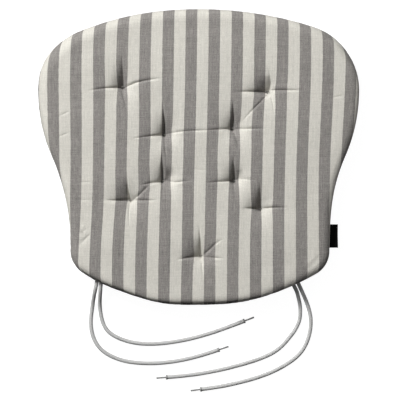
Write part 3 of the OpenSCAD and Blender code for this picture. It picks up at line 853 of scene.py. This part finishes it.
class Graph:
    """A new material or world, and its nodes; sockets are given as numbers or as other nodes' outputs."""

    def __init__(self, name, kind=bpy.data.materials):
        self.owner = kind.new(name)
        self.owner.use_nodes = True
        self.tree = self.owner.node_tree

    def node(self, kind, inputs=(), **settings):
        n = self.tree.nodes.new(kind)
        for key, value in settings.items():
            setattr(n, key, value)
        for key, value in dict(inputs).items():
            self.link(value, n.inputs[key])
        return n

    def link(self, value, socket):
        if isinstance(value, bpy.types.NodeSocket):
            self.tree.links.new(value, socket)
        else:
            socket.default_value = value

    def math(self, operation, a, b=0.0, c=0.0):
        return self.node("ShaderNodeMath", {0: a, 1: b, 2: c}, operation=operation).outputs[0]

    def plus(self, a, b):
        return self.math("ADD", a, b)

    def minus(self, a, b):
        return self.math("SUBTRACT", a, b)

    def times(self, a, b):
        return self.math("MULTIPLY", a, b)

    def wave(self, value, pitch):
        """A sine that repeats every pitch of the value."""
        return self.math("SINE", self.times(value, 2 * math.pi / pitch))

    def fabric(self):
        """The cloth's own coordinates in mm: as a vector, and its first two parts."""
        attr = self.node("ShaderNodeAttribute", attribute_name="fabric").outputs["Vector"]
        parts = self.node("ShaderNodeSeparateXYZ", {0: attr})
        return attr, parts.outputs[0], parts.outputs[1]

    def noise(self, vector, scale=1.0, detail=2.0, rough=0.5):
        inputs = {"Vector": vector, "Scale": scale, "Detail": detail, "Roughness": rough}
        return self.node("ShaderNodeTexNoise", inputs).outputs[0]

    def streaks(self, vector, across, along, detail=2.0, rough=0.5):
        """Noise stretched along the cloth's two directions, in cycles per mm."""
        scaled = self.node("ShaderNodeVectorMath", {0: vector, 1: (across, along, 1.0)}, operation="MULTIPLY")
        return self.noise(scaled.outputs[0], 1.0, detail, rough)

    def mix(self, factor, a, b):
        n = self.node("ShaderNodeMix", data_type="RGBA")
        for value, key in ((factor, 0), (a, 6), (b, 7)):
            self.link(value, n.inputs[key])
        return n.outputs[2]

    def ramp(self, value, low, high, to_low=0.0, to_high=1.0):
        """The value's place between low and high, as a place between to_low and to_high."""
        return self.node("ShaderNodeMapRange", {0: value, 1: low, 2: high, 3: to_low, 4: to_high}).outputs[0]

    def finish(self, colour, rough, height=None, depth=0.0001, **fixed):
        """Sets the shader: height is the bump's source and depth its size in metres."""
        sockets = self.tree.nodes["Principled BSDF"].inputs
        self.link(colour, sockets["Base Color"])
        self.link(rough, sockets["Roughness"])
        for key, value in fixed.items():
            sockets[key.replace("_", " ")].default_value = value
        if height is not None:
            bump = self.node("ShaderNodeBump", {"Height": height, "Distance": depth, "Strength": 1.0})
            self.link(bump.outputs[0], sockets["Normal"])
        return self.owner


def shade(rgb, k=1.0):
    """A colour made k times as bright, as a socket takes it."""
    return (*(part * k for part in rgb), 1.0)


# The last of these colours is painted shade for the hollows between the weave's yarns.
CREAM, GREY, CLOUD, PAINTED_WEAVE_SHADE = (0.560, 0.543, 0.498), (0.208, 0.196, 0.187), (0.40, 0.385, 0.35), (0.16, 0.15, 0.14)
STRIPE_PERIOD, YARN = 29.45, 0.46


def striped_cloth(name, gain):
    """The linen-look cover cloth; gain is how bright it is."""
    g = Graph(name)
    vector, fx, fy = g.fabric()
    yarn_edge = g.streaks(vector, 0.9, 0.16, 1.0)
    across = g.plus(fx, g.times(g.minus(yarn_edge, 0.5), 0.7))
    phase = g.math("FRACT", g.plus(g.math("DIVIDE", across, STRIPE_PERIOD), 0.5))
    cream = g.ramp(g.math("ABSOLUTE", g.minus(phase, 0.5)), 0.256, 0.244)
    # Heathered yarns: long slubs down the warp, short ones along the weft.
    slub = g.streaks(vector, 1.15, 0.085, 3.0, 0.6)
    weft = g.streaks(vector, 0.10, 1.3, 2.0, 0.6)
    fleck = g.streaks(vector, 0.95, 0.58, 3.0, 0.7)
    streak = g.streaks(vector, 0.80, 0.012)
    bar = g.streaks(vector, 0.016, 0.80)
    heather = 0.0
    for part, weight in ((slub, 1.0), (weft, 0.6), (fleck, 1.2), (streak, 0.55), (bar, 0.42)):
        heather = g.math("MULTIPLY_ADD", g.minus(part, 0.5), weight, heather)
    tone = g.ramp(heather, -0.55, 0.55)
    grey = g.mix(tone, shade(GREY, 0.34 * gain), shade(GREY, 1.66 * gain))
    pale = g.mix(tone, shade(CREAM, 0.73 * gain), shade(CREAM, 1.25 * gain))
    cloud = g.ramp(g.streaks(vector, 0.018, 0.018), 0.3, 0.7)
    colour = g.mix(g.times(cloud, 0.10), g.mix(cream, grey, pale), shade(CLOUD, gain))
    # Plain weave: warp and weft floats stand up in turn.
    weave = g.times(g.wave(fx, YARN), g.wave(fy, YARN))
    height = g.plus(g.times(weave, 0.5), g.plus(g.times(slub, 1.3), g.times(weft, 0.9)))
    # Where the weave is low the colour goes darker: painted shade between the yarns.
    colour = g.mix(g.times(g.ramp(weave, 1.0, -1.0), 0.10), colour, shade(PAINTED_WEAVE_SHADE, gain))
    return g.finish(colour, g.ramp(slub, 0.2, 0.8, 0.86, 0.97), height, 0.00009, Sheen_Weight=0.12,
                    Sheen_Roughness=0.45, Sheen_Tint=(0.9, 0.89, 0.86, 1.0), Specular_IOR_Level=0.22)


BRAID_TURN, BRAID_RUN = 2 * 8 / 4.88, 2.4


def braided_cord():
    """A round braid: two sets of strands that cross, with painted shade between them and patchy grime."""
    g = Graph("braided_cord")
    vector, along, around = g.fabric()
    turn, run = g.times(around, BRAID_TURN), g.times(along, BRAID_RUN)
    braid = g.math("MAXIMUM", g.math("SINE", g.plus(turn, run)), g.math("SINE", g.minus(turn, run)))
    fibre = g.streaks(vector, 1.2, 6.0)
    grime = g.ramp(g.streaks(vector, 0.05, 0.2), 0.3, 0.7)
    # The strands are pale on their crowns and dark in the grooves between them: painted shade.
    colour = g.mix(g.ramp(braid, -0.4, 1.0), (0.25, 0.25, 0.25, 1), (0.57, 0.57, 0.57, 1))
    colour = g.mix(g.times(grime, 0.25), colour, (0.36, 0.36, 0.35, 1))
    return g.finish(colour, g.ramp(fibre, 0.2, 0.8, 0.55, 0.75), g.plus(braid, g.times(fibre, 0.5)), 0.00012,
                    Sheen_Weight=0.1, Specular_IOR_Level=0.35)


def by_position(name, low, high, scale, rough=(0.7, 0.85), depth=0.00008, detail=3.0):
    """A mottled finish from the point's own place, for small pieces."""
    g = Graph(name)
    place = g.node("ShaderNodeTexCoord").outputs["Object"]
    mottle = g.noise(place, scale, detail, 0.6)
    fine = g.noise(place, scale * 3.1, 2.0)
    colour = g.mix(g.ramp(mottle, 0.3, 0.7), shade(low), shade(high))
    return g.finish(colour, g.ramp(fine, 0.3, 0.7, *rough), g.plus(mottle, g.times(fine, 0.5)), depth)


def twisted_thread(name, low, high, pitch, **fixed):
    """Thread or twine: fine diagonal ply lines over a fibrous mottle."""
    g = Graph(name)
    place = g.node("ShaderNodeTexCoord").outputs["Object"]
    parts = g.node("ShaderNodeSeparateXYZ", {0: place})
    ply = g.wave(g.plus(g.plus(parts.outputs[0], parts.outputs[1]), parts.outputs[2]), pitch * MM)
    fibre = g.noise(place, 2600.0, 2.0)
    # The colour goes darker in the grooves between the plies: painted shade.
    colour = g.mix(g.ramp(g.plus(ply, fibre), -0.6, 1.6), shade(low), shade(high))
    return g.finish(colour, g.ramp(fibre, 0.3, 0.7, 0.5, 0.7), ply, 0.0001, **fixed)


def woven_ribbon():
    """Black ribbed ribbon with a selvedge down each side."""
    g = Graph("woven_ribbon")
    vector, run, along = g.fabric()
    weave = g.plus(g.wave(run, 0.55), g.times(g.wave(along, 0.3), 0.4))
    fuzz = g.streaks(vector, 1.5, 1.5, 3.0)
    selvedge = g.math("MAXIMUM", g.ramp(along, 1.4, 0.9), g.ramp(along, LABEL_W - 1.4, LABEL_W - 0.9))
    # The colour goes darker in the low parts of the ribs: painted shade.
    colour = g.mix(g.ramp(g.plus(weave, fuzz), -1.2, 2.0), (0.001, 0.001, 0.001, 1), (0.004, 0.004, 0.0042, 1))
    colour = g.mix(g.times(selvedge, 0.5), colour, (0.006, 0.006, 0.006, 1))
    return g.finish(colour, g.ramp(fuzz, 0.3, 0.7, 0.6, 0.75), weave, 0.00006, Specular_IOR_Level=0.08)


def paint(obj, material):
    obj.data.materials.clear()
    obj.data.materials.append(material)


# The underside gets the same striped cloth at half the brightness: painted shade, for the near-black line along the
# rear edge.
cloth_top, painted_shade_underside = striped_cloth("striped_cloth_top", 1.0), striped_cloth("striped_cloth_under_painted_shade", 0.5)
cord_braid = braided_cord()
melted = by_position("melted_sleeve", (0.14, 0.14, 0.14), (0.32, 0.32, 0.315), 900.0, (0.32, 0.5), 0.00015)
core_yarn = twisted_thread("core_yarn", (0.15, 0.15, 0.15), (0.38, 0.38, 0.375), 0.9, Specular_IOR_Level=0.3)
sewing = twisted_thread("sewing_thread", (0.36, 0.35, 0.32), (0.62, 0.61, 0.57), 0.7, Sheen_Weight=0.1)
twine = twisted_thread("tufting_twine", (0.10, 0.097, 0.09), (0.30, 0.29, 0.27), 1.1)
foam_skin = by_position("open_cell_foam", (0.72, 0.64, 0.44), (0.92, 0.87, 0.68), 700.0, (0.9, 1.0), 0.0004, 4.0)
black_ribbon = woven_ribbon()

for name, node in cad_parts.items():
    if name.startswith("tuft_thread"):
        paint(node, twine)
    elif name.startswith("bar_tack") or name == "seam_thread":
        paint(node, sewing)

# ---- Each piece's material and body; the CAD node that it stands for is hidden ----

def place(obj, material, material_slot, node):
    """Gives a piece its material and its body, and hides the CAD node that it stands for."""
    paint(obj, material)
    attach(obj, "root")
    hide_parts(node)


place(top_cover, cloth_top, "cover_top", "top_panel")
place(bottom_cover, painted_shade_underside, "cover_underside", "bottom_panel")
place(foam_block, foam_skin, "foam", "foam_core")
place(ribbon, black_ribbon, "label_ribbon", "side_label")
place(stitches, sewing, "sewing_thread", "closing_stitch")
for name, (cord, collar, tip, path) in cords.items():
    place(cord, cord_braid, "tie_cord", "tie_cord_" + name)
    place(collar, melted, "melted_end", "cord_collar_" + name)
    place(tip, core_yarn, "cord_core", "cord_tip_" + name)
    path_length(path) * MM

# ---- Floor, surround and light ----
FLOOR_R, DOME_R = 12.0, 14.0


def stage_dome(turns=48, rises=16):
    """A pale surround that only the camera sees; it comes down a little past the floor's level."""
    a = circle(turns)
    points, faces = [(0, 0, 1)], [(0, 1 + j, 1 + (j + 1) % turns) for j in range(turns)]
    for k in range(1, rises + 1):
        e = math.pi / 2 * (1 - k / rises) - (0.02 if k == rises else 0)
        ring = (math.cos(e) * np.cos(a), math.cos(e) * np.sin(a), np.full(turns, math.sin(e)))
        points += np.column_stack(ring).tolist()
    faces += [tuple(1 + i for i in face[::-1]) for face in ring_faces(rises, turns)]
    return make_mesh("surround", DOME_R / MM * np.array(points), faces)


rim = circle(96)
floor = make_mesh("floor", FLOOR_R / MM * np.column_stack([np.cos(rim), np.sin(rim), 0 * rim]), [tuple(range(96))])
dome = stage_dome()
for part, name, scale, low, high, rough, glow in ((floor, "pale_floor", 8.0, 0.20, 0.21, 0.9, 0.96),
                                                  (dome, "pale_surround", 0.3, 0.05, 0.06, 1.0, 0.95)):
    g = Graph(name)
    tone = g.noise(g.node("ShaderNodeTexCoord").outputs["Object"], scale)
    paint(part, g.finish(g.mix(tone, shade((low,) * 3), shade((high,) * 3)), rough, Emission_Color=(1, 1, 1, 1),
                         Emission_Strength=glow))
    part.visible_diffuse = part.visible_glossy = False
dome.visible_shadow = False

# Soft light from above, fuller towards the front left, where the key stands.
sky = Graph("studio", bpy.data.worlds)
bpy.context.scene.world = sky.owner
ray = sky.node("ShaderNodeTexCoord").outputs["Generated"]
towards = sky.node("ShaderNodeVectorMath", {0: ray, 1: (-0.35, 0.55, 0.76)}, operation="DOT_PRODUCT").outputs["Value"]
background = sky.tree.nodes["Background"].inputs
sky.link(sky.ramp(towards, 0.05, 0.95, 0.005, 0.42), background["Strength"])
sky.link((1.0, 1.0, 0.985, 1.0), background["Color"])


def softbox(name, place, target, size, power, colour=(1, 1, 1)):
    light = bpy.data.lights.new(name, "AREA")
    light.shape, light.size, light.size_y = "RECTANGLE", size[0], size[1]
    light.energy, light.color = power, colour
    obj = bpy.data.objects.new(name, light)
    obj.location = place
    obj.rotation_mode = "QUATERNION"
    obj.rotation_quaternion = (Vector(target) - Vector(place)).to_track_quat("-Z", "Y")
    bpy.context.scene.collection.objects.link(obj)
    return obj


softbox("key", (-2.3, 2.75, 3.2), (0, -0.02, 0), (0.95, 0.95), 338.0, (1.0, 1.0, 0.99))
softbox("side_fill", (2.4, 0.1, 0.3), (0.2, 0, 0.02), (1.0, 0.5), 7.0).visible_camera = False
bpy.context.scene.view_settings.view_transform = "Standard"
